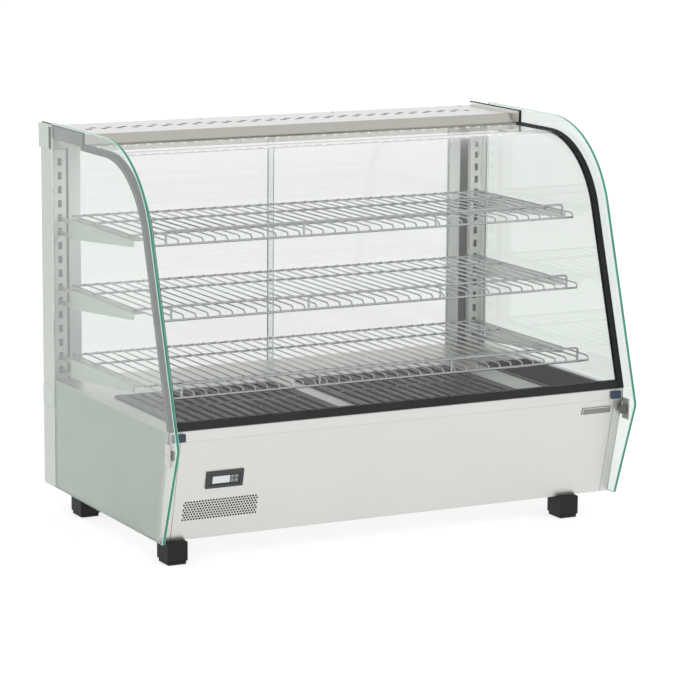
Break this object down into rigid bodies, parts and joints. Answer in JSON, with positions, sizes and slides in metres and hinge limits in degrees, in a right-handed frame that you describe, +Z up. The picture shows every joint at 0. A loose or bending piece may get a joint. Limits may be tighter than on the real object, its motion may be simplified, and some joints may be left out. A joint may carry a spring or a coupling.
{
  "type": "hot food display case",
  "caption": "Countertop heated display case: curved front glass, clear side glasses, three wire shelves, slotted floor plates, rear sliding doors and a steel base with controls.",
  "frame": {"origin": "centre of the footprint's bounding box, on the surface the feet stand on", "axes": "+X to the right seen from the customer's side, +Y from the customer's side to the rear doors, +Z up"},
  "size_m": [0.8616, 0.57, 0.67],
  "materials": {
    "stainless_steel": "fine brushed stainless sheet",
    "heater_steel": "matt heating tube",
    "dark_steel": "dark coated sheet, slightly satin",
    "chrome_wire": "polished chrome wire",
    "track_aluminium": "satin anodised",
    "badge_metal": "satin, blank",
    "clamp_metal": "satin",
    "clear_glass": "clear, green at the edges",
    "black_rubber": "matt",
    "foot_rubber": "matt",
    "black_plastic": "matt moulding",
    "rocker_plastic": "semi-gloss",
    "button_plastic": "matt grey",
    "display_lens": "glossy display window",
    "corner_plastic": "matt dark blue",
    "cap_plastic": "matt grey-green",
    "lamp_diffuser": "translucent warm white"
  },
  "bodies": {
    "case": {"base_tray": "stainless_steel", "front_panel": "stainless_steel", "rear_panel": "stainless_steel", "deck": "stainless_steel", "foot_front_left": "foot_rubber", "foot_front_right": "foot_rubber", "foot_rear_left": "foot_rubber", "foot_rear_right": "foot_rubber", "heater_element": "heater_steel", "fan_housing": "black_plastic", "controller_housing": "black_plastic", "controller_lens": "display_lens", "badge_plate": "badge_metal", "switch_plate": "black_plastic", "cable_gland": "black_plastic", "front_glass": "clear_glass", "seal_bottom": "black_rubber", "top_panel": "stainless_steel", "led_lamp": "lamp_diffuser", "door_track_upper": "track_aluminium", "door_track_lower": "track_aluminium", "side_glass_left": "clear_glass", "seal_left": "black_rubber", "glass_clamp_left": "clamp_metal", "sill_corner_left": "corner_plastic", "rear_post_left": "stainless_steel", "shelf_standard_left": "stainless_steel", "track_cap_upper_left": "cap_plastic", "track_cap_lower_left": "cap_plastic", "shelf_bracket_top_left": "stainless_steel", "shelf_bracket_middle_left": "stainless_steel", "shelf_bracket_bottom_left": "stainless_steel", "side_glass_right": "clear_glass", "seal_right": "black_rubber", "glass_clamp_right": "clamp_metal", "sill_corner_right": "corner_plastic", "rear_post_right": "stainless_steel", "shelf_standard_right": "stainless_steel", "track_cap_upper_right": "cap_plastic", "track_cap_lower_right": "cap_plastic", "shelf_bracket_top_right": "stainless_steel", "shelf_bracket_middle_right": "stainless_steel", "shelf_bracket_bottom_right": "stainless_steel"},
    "left_door": {"door_left": "clear_glass", "door_pull_left": "track_aluminium"},
    "right_door": {"door_right": "clear_glass", "door_pull_right": "track_aluminium"},
    "upper_shelf": {"shelf_top": "chrome_wire"},
    "middle_shelf": {"shelf_middle": "chrome_wire"},
    "lower_shelf": {"shelf_bottom": "chrome_wire"},
    "left_grille": {"floor_grille_left": "dark_steel"},
    "right_grille": {"floor_grille_right": "dark_steel"},
    "pan": {"water_pan": "dark_steel"},
    "fan": {"fan_rotor": "black_plastic"},
    "power_switch": {"power_rocker": "rocker_plastic"},
    "light_switch": {"light_rocker": "rocker_plastic"},
    "button_1": {"controller_button_1": "button_plastic"},
    "button_2": {"controller_button_2": "button_plastic"},
    "button_3": {"controller_button_3": "button_plastic"},
    "button_4": {"controller_button_4": "button_plastic"}
  },
  "joints": [
    {"name": "left_door_slide", "type": "slide", "parent": "case", "child": "left_door", "axis": [1, 0, 0], "range_m": [0, 0.39]},
    {"name": "right_door_slide", "type": "slide", "parent": "case", "child": "right_door", "axis": [-1, 0, 0], "range_m": [0, 0.39]},
    {"name": "upper_shelf_lift", "type": "slide", "parent": "case", "child": "upper_shelf", "axis": [0, 0, 1], "range_m": [0, 0.04]},
    {"name": "middle_shelf_lift", "type": "slide", "parent": "case", "child": "middle_shelf", "axis": [0, 0, 1], "range_m": [0, 0.04]},
    {"name": "lower_shelf_lift", "type": "slide", "parent": "case", "child": "lower_shelf", "axis": [0, 0, 1], "range_m": [0, 0.04]},
    {"name": "left_grille_lift", "type": "slide", "parent": "case", "child": "left_grille", "axis": [0, 0, 1], "range_m": [0, 0.025]},
    {"name": "right_grille_lift", "type": "slide", "parent": "case", "child": "right_grille", "axis": [0, 0, 1], "range_m": [0, 0.025]},
    {"name": "pan_lift", "type": "slide", "parent": "case", "child": "pan", "axis": [0, 0, 1], "range_m": [0, 0.018]},
    {"name": "fan_spin", "type": "hinge", "parent": "case", "child": "fan", "pos_m": [0, 0.161, 0.0993], "axis": [0, 1, 0], "continuous": true},
    {"name": "power_switch_rock", "type": "hinge", "parent": "case", "child": "power_switch", "pos_m": [0.315, 0.2758, 0.108], "axis": [-1, 0, 0], "range_deg": [0, 18]},
    {"name": "light_switch_rock", "type": "hinge", "parent": "case", "child": "light_switch", "pos_m": [0.345, 0.2758, 0.108], "axis": [-1, 0, 0], "range_deg": [0, 18]},
    {"name": "button_1_press", "type": "slide", "parent": "case", "child": "button_1", "axis": [0, 0.9708, 0.2398], "range_m": [0, 0.001], "stiffness_N_per_m": 400},
    {"name": "button_2_press", "type": "slide", "parent": "case", "child": "button_2", "axis": [0, 0.9708, 0.2398], "range_m": [0, 0.001], "stiffness_N_per_m": 400},
    {"name": "button_3_press", "type": "slide", "parent": "case", "child": "button_3", "axis": [0, 0.9708, 0.2398], "range_m": [0, 0.001], "stiffness_N_per_m": 400},
    {"name": "button_4_press", "type": "slide", "parent": "case", "child": "button_4", "axis": [0, 0.9708, 0.2398], "range_m": [0, 0.001], "stiffness_N_per_m": 400}
  ]
}
